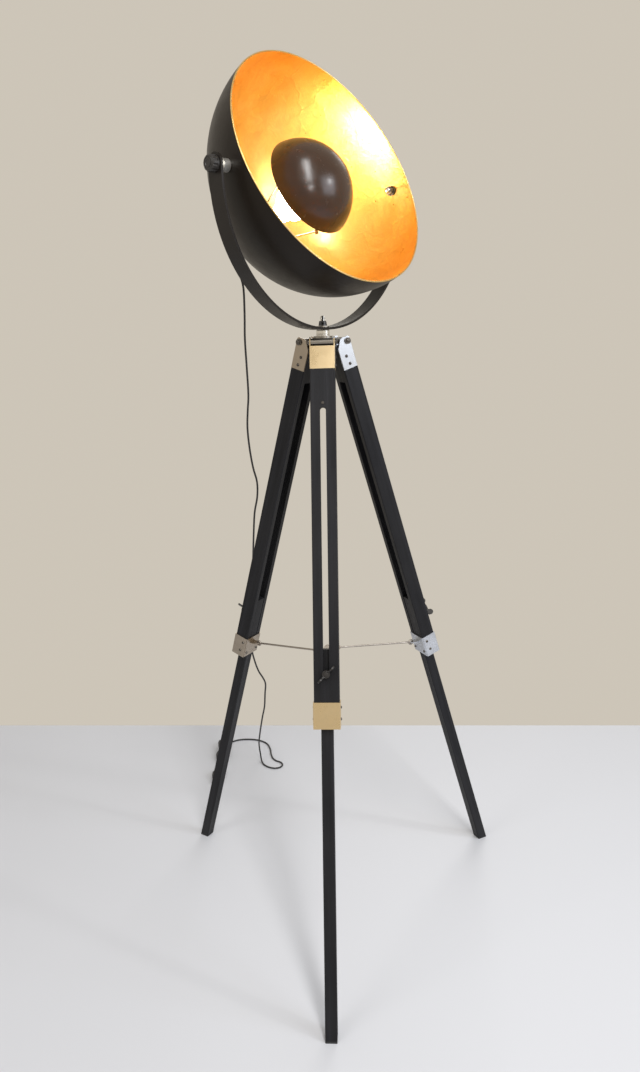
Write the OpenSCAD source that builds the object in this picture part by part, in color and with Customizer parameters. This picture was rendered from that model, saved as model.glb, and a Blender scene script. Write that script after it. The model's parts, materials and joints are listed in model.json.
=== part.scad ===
// Tripod spotlight floor lamp: a gold-lined steel dome with a counter reflector, held in a
// half-round yoke on a folding wooden tripod with telescopic legs.
// Millimetres, +Z up. The floor is Z = 0 and the front leg points along -Y.

/* [Tripod] */
// Lean of each leg from the vertical
leg_tilt = 17; // [13:0.5:20]
// Height of the leg hinge pins above the floor
hinge_z = 1101; // [950:5:1250]
// Distance of the hinge pins from the tripod's axis
hinge_r = 36; // [33:1:45]
// Width of the upper leg's side rails
rail_w = 10.5; // [9:0.25:14]
// Thickness of the upper leg's slotted outer wall
web_t = 7; // [5:0.5:9]
// Side of the square lower leg
post_w = 20; // [16:1:22]
// Length of the upper leg, from the hinge pin to its bottom end
upper_len = 641; // [560:5:700]
// Distance of the clamping screw above the upper leg's bottom end
clamp_up = 89; // [60:1:150]
// Length of the lower leg above the clamping screw
post_over = 39; // [20:1:80]
// Distance of the slot's top end below the hinge pin, which sets the lower leg's travel
slot_top = 111; // [100:1:300]
// Width of the slot in the outer wall
slot_w = 10; // [8:0.5:12]
// Thickness of the foot pad
pad_t = 3; // [2:0.5:6]

/* [Fittings] */
// Thickness of the sheet metal of caps, sleeves and brackets
sheet = 1.5; // [1:0.25:2]
// Length of the sheet cap below the hinge pin
cap_len = 46; // [40:1:60]
// Height of the cap's cheeks above the hinge pin
cheek_top = 8; // [7:0.5:10]
// Length of the sleeve at the upper leg's bottom end
sleeve_len = 42; // [30:1:60]
// Diameter of the hinge pins
pin_d = 6; // [5:0.5:8]
// Diameter of the clamping screws
clamp_d = 6; // [5:0.5:7]
// Span of the wings of a clamping screw
wing_span = 38; // [30:1:44]
// Diameter of the wood screws' heads
screw_head_d = 5.6; // [4.5:0.1:7]

/* [Spreader] */
// Diameter of the spreader rods
rod_d = 3.6; // [3:0.2:5]
// Height of the spreader's centre above the rods' eyes on the brackets
spreader_rise = 22.13; // [5:0.01:40]
// Reach of the bracket's tab, from the bracket to the rod's eye
tab_reach = 16; // [14:0.5:20]
// Distance of each rod's inner eye from the tripod's axis, along the leg
rod_stop = 9; // [8:0.5:12]
// Sideways offset of each rod's inner eye, so that the three pass each other
rod_offset = 10; // [9.5:0.25:12]

/* [Hub and spindle] */
// Diameter of the hub's boss
hub_d = 33; // [30:1:40]
// Height of the hub's boss
hub_h = 16; // [14:1:22]
// Diameter of the spindle's collar
collar_d = 23; // [20:1:28]
// Height of the spindle's collar
collar_h = 10; // [8:1:16]
// Diameter of the spindle's threaded stud
stud_d = 8; // [6:1:10]

/* [Yoke] */
// Gap between the dome and the yoke's half ring
yoke_side_gap = 18; // [12:0.5:40]
// Thickness of the yoke's strip
yoke_t = 4; // [3:0.5:6]
// Width of the yoke's strip
yoke_w = 28; // [24:1:34]
// Height of the tilt axis above the half ring's centre
yoke_rise = 15.5; // [8:0.5:24]

/* [Lamp head] */
// Outer radius of the dome
dome_r = 200; // [170:1:205]
// Thickness of the dome's steel
dome_t = 1.2; // [1:0.1:2]
// Thickness of the gold lining
lining_t = 0.4; // [0.3:0.1:0.6]
// Distance of the tilt axis behind the dome's rim
axis_back = 34; // [15:1:45]
// Direction in which the lamp points, seen from above: 0 is over the front leg
head_yaw = 51; // [-90:1:90]
// Height at which the lamp points above the horizontal
head_rise = 25; // [0:1:60]
// Sphere radius of the counter reflector
small_r = 86; // [70:1:92]
// Distance of the counter reflector's sphere centre behind the dome's rim
small_back = 77; // [70:1:95]
// Distance of the counter reflector's open edge behind the dome's rim
small_edge = 54; // [45:1:65]
// Thickness of the counter reflector's steel
small_t = 1.2; // [1:0.1:2]
// Radius of the bulb
bulb_r = 30; // [22:1:34]
// Diameter of the reflector's stays
stay_d = 3; // [2.5:0.25:4]
// Number of the reflector's stays
stay_count = 2; // [2:1:4]
// Diameter of the tilt bolts
bolt_d = 8; // [6:1:10]
// Diameter of the side knobs
knob_d = 24; // [20:1:32]

/* [Cord] */
// Diameter of the cord
cord_d = 4; // [3.5:0.1:5]
// Number of whole loops in the hank
hank_loops = 3; // [1:1:3]
// Straight length of the hank's runs
hank_run = 60; // [60:1:80]
// Radius of the hank's folds, at the middle of the cord
hank_fold = 12; // [12:0.5:16]
// Width of the plug's body
plug_w = 25; // [22:1:30]
// Thickness of the plug's body
plug_t = 17; // [15:1:20]

/* [Hidden] */
$fn = 64;

gap = 0.3;          // clearance between pieces that move past each other
run = 0.05;         // radial clearance of a shaft in its bore
past = 1;           // how far a cutting solid reaches past a face

// Legs. In a leg's own frame the hinge pin is the origin, X points away from the tripod's
// axis, Y along the pin and Z up the leg.
FRONT = -90;
RIGHT = 30;
LEFT = 150;
pin_in = 8;                                 // hinge pin outward of the leg's middle plane
side_gap = 0.5;                             // play of the lower leg in its channel
channel_w = post_w + 2 * side_gap;
leg_w = channel_w + 2 * rail_w;
leg_t = web_t + post_w + 2 * side_gap;
leg_out = leg_t / 2 - pin_in;               // outer face of the upper leg
leg_in = leg_out - leg_t;                   // inner face of the upper leg
post_out = leg_out - web_t - side_gap;      // outer face of the lower leg
post_mid = post_out - post_w / 2;
leg_chamfer = 1.2;
post_chamfer = 1;
tenon_top = 12;                             // wood's top end below the hinge pin
channel_top = 68;                           // top end of the channel below the hinge pin
clamp_s = upper_len - clamp_up;             // clamping screw below the hinge pin
post_top = clamp_s - post_over;             // lower leg's top end below the hinge pin
slot_bottom = clamp_s + slot_w / 2 + 3.5;
glue_line = 0.05;                           // between the upper leg's rails and blocks
face_top = 8;                               // the cap's outer face ends this far below the pin
foot_s = hinge_z / cos(leg_tilt) + leg_t * tan(leg_tilt);   // past the floor, before the cut
bracket_in = leg_in - sheet;                // inner face of the spreader's bracket
screw_d = 2.6;
screw_head_h = 1.3;
screw_len = 11;
cap_screw_z = [-24, -38];
cap_screw_x = [-10, -7];
sleeve_screw_s = upper_len - sleeve_len;    // top end of the sleeve
sleeve_screw_down = [11, 30];
wing_boss_d = 13;
wing_boss_h = 9;

// Spreader
tab_s = upper_len - 29;
tab_w = 14;
tab_t = 2;
tab_lip = 1.5;                              // how far the tab reaches past the middle of the rod's eye
eye_r = 4;                                  // from an eye's centre to its wire's centre
eye_hole_d = 6.4;
rod_eye_r = hinge_r + bracket_in * cos(leg_tilt) + tab_s * sin(leg_tilt) - tab_reach;
rod_eye_z = hinge_z + bracket_in * sin(leg_tilt) - tab_s * cos(leg_tilt);
rod_rise = atan(spreader_rise / rod_eye_r);
rod_run = rod_eye_r - rod_stop;
rod_len = norm([rod_run / cos(rod_rise), rod_offset]);
rod_skew = asin(rod_offset / rod_len);
small_eye_r = 3.1;
rod_tip_z = rod_eye_z + rod_run * tan(rod_rise);
plate_t = 1.6;
plate_r = 16;
plate_z = rod_tip_z + small_eye_r + rod_d / 2 + gap;
lug_t = 1.6;
lug_w = 6;
lug_pin_d = 2.4;

// Hub and spindle
hub_top = hinge_z + 9;
barrel_d = 12;
barrel_l = leg_w - 2 * sheet - 2 * side_gap;
arm_w = 18;
arm_h = 10;
shank_d = 12;
hub_nut_d = 20;
hub_nut_h = 7;
yoke_bottom = hub_top + collar_h + gap;
yoke_r = dome_r + yoke_side_gap;            // inner radius of the half ring
stud_top = yoke_bottom + yoke_t + 18;

// Yoke and lamp head
yoke_z = yoke_bottom + yoke_r + yoke_t;     // centre of the half ring
tilt_z = yoke_z + yoke_rise;
yoke_end = 16;                              // the yoke's ends stand this far above the tilt axis
seat_washer_d = 21;
seat_washer_t = 2;
seat_z = yoke_bottom + yoke_t + yoke_r - sqrt(yoke_r * yoke_r - pow(seat_washer_d / 2, 2)) + 0.05;
nut_turn = 94;                              // the wing nut's turn at rest
dome_in = dome_r - dome_t;
lining_in = dome_in - lining_t;
seat_in = sqrt(lining_in * lining_in - axis_back * axis_back);
spacer_d = 19;
flat_r = spacer_d / 2;
spacer_from = sqrt(dome_r * dome_r - pow(axis_back - flat_r, 2)) + 0.05;
knob_h = 12;
yoke_out = yoke_r + yoke_t;
washer_d = 17;
nut_across = 13;
plate_off = 2.465;                          // edge of the lamp holder's plate to where it would meet the lining
holder_plate_r = 34;
plate_back = sqrt(lining_in * lining_in - holder_plate_r * holder_plate_r) - plate_off;   // behind the rim
holder_plate_t = 3;
holder_d = 39;
holder_len = 46;
holder_from = plate_back - holder_plate_t;
cap_base_d = 26;
bulb_back = 97;
neck_d = 25;
stay_front_r = small_r * 0.92;
stay_front_back = small_edge + 7;
stay_end_r = 27;
stay_first = -103;
gland_d = 15;
gland_len = 26;
gland_tip_d = cord_d + 2.4;
gland_seat = 0.2;                           // the flat gland stands this far off the round dome

// The origin is under the middle of the lamp's outline, and the tripod's axis stands off it in Y.
front_reach = foot_reach();
rear_foot_reach = (front_reach - post_chamfer / cos(leg_tilt)) * sin(RIGHT) + post_w / 2 * cos(RIGHT);
knob_reach = (yoke_out + gap + knob_h) * sin(head_yaw) + knob_d / 2 * cos(head_yaw);
axis_y = (front_reach - max(rear_foot_reach, knob_reach)) / 2;

function foot_reach() =
    hinge_r + post_out / cos(leg_tilt) + hinge_z * tan(leg_tilt);

// Cord. It hangs from the gland, lies on the floor behind the left leg and ends in a hank.
cord_sides = 8;
hank_sides = 6;
tie_t = 0.8;
tie_w = 6;
hank_pitch = cord_d + 0.6;                  // height of one layer of the hank
hank_waist = 5;                             // half the distance between the runs at the tie
hank_base = tie_t + cord_d / 2;             // middle of the hank's lowest strand
hank_at = [-339, 537, 0];
hank_turn = 4.3;
hank_tail = 50;                             // from the hank's last fold to the plug
relief_len = 22;
plug_len = 32;
blade_len = 17;
run_steps = 7;
fold_steps = 5;
loop_steps = 2 * (run_steps + fold_steps);
tail_steps = 8;

head_out = [sin(head_yaw) * cos(head_rise), -cos(head_yaw) * cos(head_rise), sin(head_rise)];
gland_end = [0, 0, tilt_z] + (axis_back - dome_r - gland_seat - gland_len) * head_out;
floor_z = cord_d / 2;

cord_upper_points = [
    gland_end, gland_end - cord_d * head_out, gland_end - 12 * head_out,
    [-156, 127, 1257], [-160, 132, 1242], [-158, 136, 1222], [-154, 141, 1198], [-157, 157, 1150],
    [-161, 171, 1106], [-162, 182, 1052], [-163, 191, 998], [-167, 196, 964], [-170, 201, 930],
    [-169, 208, 888], [-165, 215, 847], [-159, 220, 815], [-161, 225, 782], [-169, 231, 748],
    [-174, 237, 706], [-181, 251, 640], [-188, 272, 584], [-190, 278, 568], [-191, 281, 560]
];
cord_lower_points = [
    [-191, 281, 560], [-192, 284, 552], [-202, 306, 480], [-208, 329, 398], [-205, 345, 356], [-199, 358, 324],
    [-190, 368, 300], [-187, 378, 280], [-191, 388, 250], [-196, 402, 209], [-205, 419, 172],
    [-213, 436, 136], [-221, 456, 98], [-227, 476, 66], [-229, 491, 40], [-229, 499, 23],
    [-227, 496, 9], [-223, 485, 3], [-216, 473, floor_z], [-202, 461, floor_z], [-186, 456, floor_z],
    [-172, 461, floor_z], [-167, 474, floor_z], [-174, 486, floor_z], [-187, 494, floor_z],
    [-197, 507, floor_z], [-204, 528, floor_z], [-210, 556, floor_z], [-223, 584, floor_z],
    [-248, 602, floor_z], [-276, 607, floor_z], [-298, 605, floor_z], [-315, 598, floor_z],
    [-326, 588, floor_z + 0.4], hank_end(3 * cord_d), hank_end(cord_d)
];

// The point where the cord comes into the hank, and one a given distance before it.
function hank_end(before) =
    let(x = hank_fold, y = hank_run / 2 + before)
    hank_at + [x * cos(hank_turn) - y * sin(hank_turn), x * sin(hank_turn) + y * cos(hank_turn), hank_base];

tie_top = hank_base + hank_loops * hank_pitch + cord_d / 2 + gap;
tie_half = hank_waist + cord_d / 2 + 0.8;

// The straight runs are drawn in towards each other where the tie holds them.
function run_x(y) =
    let(reach = hank_run / 2 - cord_d)
    abs(y) > reach ? hank_fold : hank_fold - (hank_fold - hank_waist) * (1 + cos(180 * y / reach)) / 2;

// Step i of a loop: down one run, round the near fold, up the other run and round the far fold.
function loop_point(i, layer) =
    i <= run_steps ?
        let(y = hank_run * (0.5 - i / run_steps))
        [run_x(y), y, layer * hank_pitch]
    : i <= run_steps + fold_steps ?
        let(turn = 180 * (i - run_steps) / fold_steps)
        [hank_fold * cos(turn), -hank_run / 2 - hank_fold * sin(turn), layer * hank_pitch]
    : i <= 2 * run_steps + fold_steps ?
        let(part = (i - run_steps - fold_steps) / run_steps, y = hank_run * (part - 0.5))
        [-run_x(y), y, (layer + (1 - cos(180 * part)) / 2) * hank_pitch]
    :
        let(turn = 180 * (i - 2 * run_steps - fold_steps) / fold_steps)
        [-hank_fold * cos(turn), hank_run / 2 + hank_fold * sin(turn), (layer + 1) * hank_pitch];

// From the last fold down to the middle of the plug.
function tail_point(part) =
    let(ease = (1 - cos(180 * part)) / 2, top = hank_loops * hank_pitch)
    [hank_fold * (1 - ease), -hank_run / 2 - hank_tail * part, top + (plug_t / 2 - hank_base - top) * ease];

hank_points = concat(
    [[hank_fold, hank_run / 2 + cord_d, 0]],
    [for (layer = [0:hank_loops - 1], i = [0:loop_steps - 1]) loop_point(i, layer)],
    [for (i = [0:run_steps]) loop_point(i, hank_loops)],
    [for (i = [1:tail_steps]) tail_point(i / tail_steps)],
    [tail_point(1) - [0, cord_d, 0]]
);

function route_length(p, i = 1) =
    i == len(p) ? 0 : norm(p[i] - p[i - 1]) + route_length(p, i + 1);

function least_gap(p, d, apart) =
    min([for (i = [0:len(p) - 1 - apart], j = [i + apart:len(p) - 1]) norm(p[i] - p[j])]) - d;

echo("least gap of the hank to itself", least_gap(hank_points, cord_d, run_steps + 1));
echo("length of the cord", route_length(cord_upper_points) + route_length(cord_lower_points)
    + route_length(hank_points));

// ---------------------------------------------------------------- placing
module in_place() {
    translate([0, axis_y, 0]) children();
}

module leg_place(azimuth) {
    in_place() rotate([0, 0, azimuth]) translate([hinge_r, 0, hinge_z]) rotate([0, -leg_tilt, 0]) children();
}

// The yoke's frame: X along the tilt axis, -Y where the lamp points.
module yoke_place() {
    in_place() rotate([0, 0, head_yaw]) translate([0, 0, tilt_z]) children();
}

// The head's frame: the origin at the middle of the rim, Z out of the dome, X along the tilt axis.
module head_place() {
    yoke_place() rotate([90 - head_rise, 0, 0]) translate([0, 0, axis_back]) children();
}

// A bore or pin along Y, from y = -length / 2 to length / 2.
module along_y(d, length) {
    rotate([90, 0, 0]) cylinder(d = d, h = length, center = true);
}

module along_x(d, from, to) {
    translate([from, 0, 0]) rotate([0, 90, 0]) cylinder(d = d, h = to - from);
}

module wood_screw() {
    cylinder(d1 = screw_head_d, d2 = screw_head_d * 0.62, h = screw_head_h);
    translate([0, 0, -screw_len]) cylinder(d = screw_d, h = screw_len + 0.01);
}

// Places of the screws that go in from both sides, at the given x and z.
module both_sides(x, z, half) {
    for (side = [-1, 1]) translate([x, side * half, z]) rotate([-90 * side, 0, 0]) children();
}

// ---------------------------------------------------------------- tube along a route
function unit(v) = v / norm(v);

// The direction of the route at each point.
function headings(p) = [
    for (i = [0:len(p) - 1]) unit(p[min(i + 1, len(p) - 1)] - p[max(i - 1, 0)])
];

// A normal at each point, carried along the route without twist.
function normals(t) = [
    for (i = 0, n = unit(cross(t[0], [0.3, 0.5, 0.8])); i < len(t); i = i + 1,
        n = i < len(t) ? unit(n - (n * t[i]) * t[i]) : n) n
];

// Points half way along a smooth curve through the route's points.
function halved(p) = [
    for (i = [0:2 * len(p) - 2])
        let(
            k = floor(i / 2),
            last = len(p) - 1,
            before = k == 0 ? 2 * p[0] - p[1] : p[k - 1],
            after = k + 2 > last ? 2 * p[last] - p[last - 1] : p[k + 2]
        )
        i % 2 == 0 ? p[k] : (9 * (p[k] + p[k + 1]) - before - after) / 16
];

module tube(p, d, sides) {
    t = headings(p);
    n = normals(t);
    rings = [
        for (i = [0:len(p) - 1], j = [0:sides - 1])
            p[i] + d / 2 * (cos(360 * j / sides) * n[i] + sin(360 * j / sides) * cross(t[i], n[i]))
    ];
    last = (len(p) - 1) * sides;
    walls = [
        for (i = [0:len(p) - 2], j = [0:sides - 1], half = [0, 1])
            let(a = i * sides + j, b = i * sides + (j + 1) % sides)
            half == 0 ? [a, a + sides, b] : [b, a + sides, b + sides]
    ];
    ends = [for (j = [1:sides - 2], side = [0, 1]) side == 0 ? [0, j, j + 1] : [last, last + j + 1, last + j]];
    polyhedron(points = rings, faces = concat(walls, ends));
}

// ---------------------------------------------------------------- legs
module chamfered(w, t, c) {
    polygon([
        [-t / 2 + c, -w / 2], [t / 2 - c, -w / 2], [t / 2, -w / 2 + c], [t / 2, w / 2 - c],
        [t / 2 - c, w / 2], [-t / 2 + c, w / 2], [-t / 2, w / 2 - c], [-t / 2, -w / 2 + c]
    ]);
}

module cap_screw_places() {
    for (i = [0, 1]) both_sides(cap_screw_x[i], cap_screw_z[i], leg_w / 2) children();
}

module sleeve_screw_places() {
    for (i = [0, 1])
        both_sides(leg_in + 7 + 3 * i, -sleeve_screw_s - sleeve_screw_down[i], leg_w / 2 + sheet) children();
}

module bracket_screw_places() {
    for (side = [-1, 1])
        translate([bracket_in, side * (channel_w + leg_w) / 4, -upper_len + 9]) rotate([0, -90, 0]) children();
}

// The upper leg: a rail each side of the slot, with a block glued between them above and below it.
module upper_leg(azimuth) {
    color("#1b1b1d") leg_place(azimuth) {
        for (y = [-leg_w / 2 - past, slot_w / 2]) leg_strip(y, leg_w / 2 + past - slot_w / 2);
        leg_strip(glue_line - slot_w / 2, slot_w - 2 * glue_line);
    }
}

// The part of the upper leg from y on, of this width.
module leg_strip(y, width) {
    intersection() {
        leg_wood();
        translate([leg_in - past, y, -upper_len - past])
            cube([leg_t + 2 * past, width, upper_len + 2 * past]);
    }
}

module leg_wood() {
    tenon_w = leg_w - 2 * sheet;
    difference() {
        union() {
            translate([leg_out - leg_t / 2, 0, -upper_len])
                linear_extrude(upper_len - cap_len) chamfered(leg_w, leg_t, leg_chamfer);
            translate([leg_in, -tenon_w / 2, -cap_len - 0.01])
                cube([leg_t - sheet, tenon_w, cap_len - tenon_top]);
        }
        translate([leg_in - past, -channel_w / 2, -upper_len - past])
            cube([leg_t - web_t + past, channel_w, upper_len - channel_top + past]);
        slot_cut();
        cap_screw_places() translate([0, 0, -screw_len]) cylinder(d = screw_d, h = screw_len);
        sleeve_screw_places() translate([0, 0, -screw_len]) cylinder(d = screw_d, h = screw_len);
        bracket_screw_places() translate([0, 0, -screw_len]) cylinder(d = screw_d, h = screw_len);
    }
}

module slot_cut() {
    mid = [slot_top + slot_w / 2, slot_bottom - slot_w / 2];
    for (s = mid) translate([0, 0, -s]) along_x(slot_w, -web_t * 2, leg_out + past);
    translate([-web_t * 2, -slot_w / 2, -mid[1]]) cube([leg_out + past + web_t * 2, slot_w, mid[1] - mid[0]]);
}

// The sheet cap: a face and two cheeks, hinged on the pin.
module cap(azimuth) {
    color("#b9b4aa") leg_place(azimuth) difference() {
        intersection() {
            rotate([90, 0, 0]) linear_extrude(leg_w + past, center = true) polygon([
                [leg_in, -cap_len], [leg_out, -cap_len], [leg_out, cheek_top - 4], [leg_out - 3, cheek_top],
                [-9, cheek_top], [-13, cheek_top - 2], [leg_in, -10]
            ]);
            translate([leg_out - leg_t / 2, 0, -cap_len - past])
                linear_extrude(cap_len + cheek_top + 2 * past) chamfered(leg_w, leg_t, 0.7);
        }
        translate([leg_in - past, -leg_w / 2 + sheet, -cap_len - past])
            cube([leg_t - sheet + past, leg_w - 2 * sheet, cap_len + cheek_top + 2 * past]);
        translate([leg_in - past, -leg_w / 2 + sheet, -face_top])
            cube([leg_t + 2 * past, leg_w - 2 * sheet, face_top + cheek_top + past]);
        along_y(pin_d + 2 * run, leg_w + 2 * past);
        cap_screw_places() translate([0, 0, -sheet - past]) cylinder(d = screw_d, h = sheet + 2 * past);
    }
}

module cap_screws(azimuth) {
    color("#3a3632") leg_place(azimuth) cap_screw_places() wood_screw();
}

// The sheet sleeve round the upper leg's bottom end; the bracket closes its inner side.
module sleeve(azimuth) {
    color("#b9b4aa") leg_place(azimuth) difference() {
        translate([leg_out + sheet - (leg_t + sheet) / 2, 0, -upper_len - sheet])
            linear_extrude(sleeve_len + sheet) chamfered(leg_w + 2 * sheet, leg_t + sheet, 0.8);
        translate([leg_in - past, -leg_w / 2, -upper_len - 2 * sheet])
            cube([leg_t + past, leg_w, sleeve_len + 3 * sheet]);
        sleeve_screw_places() translate([0, 0, -sheet - past]) cylinder(d = screw_d, h = sheet + 2 * past);
    }
}

module sleeve_screws(azimuth) {
    color("#3a3632") leg_place(azimuth) {
        sleeve_screw_places() wood_screw();
        bracket_screw_places() wood_screw();
    }
}

module spreader_bracket(azimuth) {
    color("#8f8a82") leg_place(azimuth) difference() {
        union() {
            translate([bracket_in, -leg_w / 2, -upper_len]) cube([sheet, leg_w, sleeve_len]);
            translate([bracket_in, 0, -tab_s]) rotate([0, leg_tilt, 0]) translate([0, 0, -tab_t / 2]) {
                tab_blank();
            }
        }
        translate([bracket_in, 0, -tab_s]) rotate([0, leg_tilt, 0])
            translate([-tab_reach + eye_r, 0, -tab_t]) cylinder(d = eye_hole_d, h = 2 * tab_t);
        bracket_screw_places() translate([0, 0, -sheet - past]) cylinder(d = screw_d, h = sheet + 2 * past);
    }
}

// The tab: a strip with a rounded end whose edge passes through the rod's eye.
module tab_blank() {
    end = tab_reach + tab_lip;
    translate([-end + tab_w / 2, -tab_w / 2, 0]) cube([end - tab_w / 2 + sheet / 2, tab_w, tab_t]);
    translate([-end + tab_w / 2, 0, 0]) cylinder(d = tab_w, h = tab_t);
}

// A square post along the leg, from one distance below the pin to past the floor.
module post_blank() {
    translate([post_mid, 0, -foot_s]) linear_extrude(foot_s - post_top)
        chamfered(post_w, post_w, post_chamfer);
}

module lower_leg(azimuth) {
    color("#1b1b1d") difference() {
        leg_place(azimuth) difference() {
            post_blank();
            translate([0, 0, -clamp_s]) along_x(clamp_d + 2 * run, post_out - 16, post_out + past);
        }
        in_place() translate([-foot_s, -foot_s, -foot_s + pad_t]) cube([2 * foot_s, 2 * foot_s, foot_s]);
    }
}

module foot_pad(azimuth) {
    color("#101010") intersection() {
        leg_place(azimuth) post_blank();
        in_place() translate([-foot_s, -foot_s, 0]) cube([2 * foot_s, 2 * foot_s, pad_t]);
    }
}

// The clamping screw with two wings, through the slot into the lower leg.
module wing_screw(azimuth) {
    color("#2b2826") leg_place(azimuth) translate([0, 0, -clamp_s]) {
        along_x(clamp_d, post_out - 15, leg_out + gap + 1);
        along_x(wing_boss_d, leg_out + gap, leg_out + gap + wing_boss_h);
        for (side = [0, 180])
            rotate([45 + side, 0, 0]) wing(leg_out + gap, wing_boss_d / 2, wing_span / 2);
    }
}

// One wing, from the boss outward along Y, rising along X.
module wing(base, inner, reach) {
    wing_t = 2.6;
    round_r = 5.5;
    translate([base, 0, -wing_t / 2]) linear_extrude(wing_t) union() {
        polygon([
            [1, inner - 2], [1, inner + 1], [6, reach - 1], [15, reach - 3], [wing_boss_h, inner - 2]
        ]);
        translate([11, reach - round_r]) circle(r = round_r);
    }
}

// ---------------------------------------------------------------- spreader
module spreader_rod(azimuth) {
    color("#a49c90") in_place() rotate([0, 0, azimuth]) translate([rod_eye_r, 0, rod_eye_z]) {
        rod_eye(eye_r);
        rotate([0, rod_rise, 0]) {
            rotate([0, 0, -rod_skew]) along_x(rod_d, -rod_len + small_eye_r, -eye_r);
            translate([-rod_run / cos(rod_rise), rod_offset, 0]) rod_eye(small_eye_r);
        }
    }
}

module rod_eye(r) {
    rotate([90, 0, 0]) rotate_extrude() translate([r, 0]) circle(d = rod_d, $fn = 32);
}

// The plate over the three inner eyes, hinged on the front rod's eye.
module spreader_plate() {
    eye_x = rod_stop;
    color("#8f8a82") in_place() {
        difference() {
            translate([0, 0, plate_z]) cylinder(r = plate_r, h = plate_t);
            translate([0, 0, plate_z - past]) cylinder(d = 7, h = plate_t + 2 * past);
        }
        rotate([0, 0, FRONT]) translate([eye_x, rod_offset, rod_tip_z]) {
            along_y(lug_pin_d, rod_d + 2 * gap + 2 * lug_t);
            for (side = [-1, 1]) translate([0, side * (rod_d / 2 + gap + lug_t / 2), 0]) {
                along_y(lug_w, lug_t);
                translate([-lug_w / 2, -lug_t / 2, 0]) cube([lug_w, lug_t, plate_z - rod_tip_z + 0.1]);
            }
        }
    }
}

// ---------------------------------------------------------------- hub
module hub() {
    color("#5a5650") in_place() difference() {
        union() {
            translate([0, 0, hub_top - hub_h]) cylinder(d = hub_d, h = hub_h);
            for (azimuth = [FRONT, RIGHT, LEFT]) rotate([0, 0, azimuth]) {
                translate([0, -arm_w / 2, hinge_z - arm_h / 2]) cube([hinge_r, arm_w, arm_h]);
                translate([hinge_r, 0, hinge_z]) along_y(barrel_d, barrel_l);
            }
        }
        translate([0, 0, hub_top - hub_h - past]) cylinder(d = shank_d, h = hub_h + 2 * past);
        for (azimuth = [FRONT, RIGHT, LEFT])
            rotate([0, 0, azimuth]) translate([hinge_r, 0, hinge_z]) along_y(pin_d, barrel_l + past);
    }
}

module hinge_pins() {
    head_d = 11;
    head_h = 2;
    color("#24211f") in_place() for (azimuth = [FRONT, RIGHT, LEFT])
        rotate([0, 0, azimuth]) translate([hinge_r, 0, hinge_z]) {
            along_y(pin_d, leg_w + 2 * gap + 2);
            for (side = [-1, 1]) translate([0, side * (leg_w / 2 + gap + head_h / 2), 0]) {
                along_y(head_d, head_h);
                translate([0, side * head_h * 0.8, 0]) along_y(pin_d + 1, head_h);
            }
        }
}

// The spindle: shank through the hub, collar, and the stud that the yoke turns on.
module spindle() {
    color("#c9c4ba") in_place() {
        translate([0, 0, hub_top - hub_h - hub_nut_h - 3]) cylinder(d = shank_d, h = hub_h + hub_nut_h + 3.01);
        translate([0, 0, hub_top]) cylinder(d = collar_d, h = collar_h - 1);
        translate([0, 0, hub_top + collar_h - 1]) cylinder(d1 = collar_d, d2 = collar_d - 2, h = 1);
        translate([0, 0, hub_top]) cylinder(d = stud_d, h = stud_top - hub_top);
    }
}

module spindle_nut() {
    color("#8f8a82") in_place() translate([0, 0, hub_top - hub_h - hub_nut_h]) difference() {
        cylinder(d = hub_nut_d, h = hub_nut_h, $fn = 6);
        translate([0, 0, -past]) cylinder(d = shank_d, h = hub_nut_h + 2 * past);
    }
}

// ---------------------------------------------------------------- yoke
module yoke() {
    color("#26231f") yoke_place() difference() {
        union() {
            translate([0, 0, -yoke_rise]) intersection() {
                rotate([90, 0, 0]) difference() {
                    cylinder(r = yoke_out, h = yoke_w, center = true, $fn = 128);
                    cylinder(r = yoke_r, h = yoke_w + past, center = true, $fn = 128);
                }
                translate([-yoke_out - past, -yoke_w, -yoke_out - past])
                    cube([2 * yoke_out + 2 * past, 2 * yoke_w, yoke_out + past]);
            }
            for (side = [-1, 1]) translate([side * (yoke_r + yoke_t / 2), 0, 0]) yoke_arm();
        }
        along_x(bolt_d + 2 * run, -yoke_out - past, yoke_out + past);
        translate([0, 0, -yoke_rise - yoke_out - past]) cylinder(d = stud_d + 2 * run, h = yoke_t + 3 * past);
    }
}

// The straight end of the strip, with its top rounded across the width.
module yoke_arm() {
    rotate([90, 0, 90]) translate([0, 0, -yoke_t / 2]) linear_extrude(yoke_t) intersection() {
        translate([-yoke_w / 2, -yoke_rise - 0.01]) square([yoke_w, yoke_rise + yoke_end]);
        union() {
            translate([0, yoke_end - yoke_w / 2]) circle(d = yoke_w);
            translate([-yoke_w / 2, -yoke_rise - 1]) square([yoke_w, yoke_rise + yoke_end - yoke_w / 2 + 1]);
        }
    }
}

// The washer lies on the yoke's inside with its edge, and the nut on the washer.
module yoke_washer() {
    color("#3a3632") in_place() translate([0, 0, seat_z]) difference() {
        cylinder(d = seat_washer_d, h = seat_washer_t);
        translate([0, 0, -past]) cylinder(d = stud_d + 2 * run, h = seat_washer_t + 2 * past);
    }
}

module yoke_wing_nut() {
    nut_h = 8;
    color("#24211f") in_place() translate([0, 0, seat_z + seat_washer_t + gap]) difference() {
        union() {
            cylinder(d1 = 15, d2 = 12, h = nut_h);
            for (side = [0, 180]) rotate([0, 0, nut_turn + side]) rotate([0, -90, 90]) wing(0, 6, 15);
        }
        translate([0, 0, -past]) cylinder(d = stud_d + 2 * run, h = nut_h + 3 * past);
    }
}

// ---------------------------------------------------------------- lamp head
// The half of a ball shell behind the plane z = 0, open towards +Z.
module bowl(outer, inner) {
    difference() {
        sphere(r = outer, $fn = 96);
        sphere(r = inner, $fn = 96);
        translate([-outer - past, -outer - past, 0]) cube(2 * outer + 2 * past);
    }
}

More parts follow.
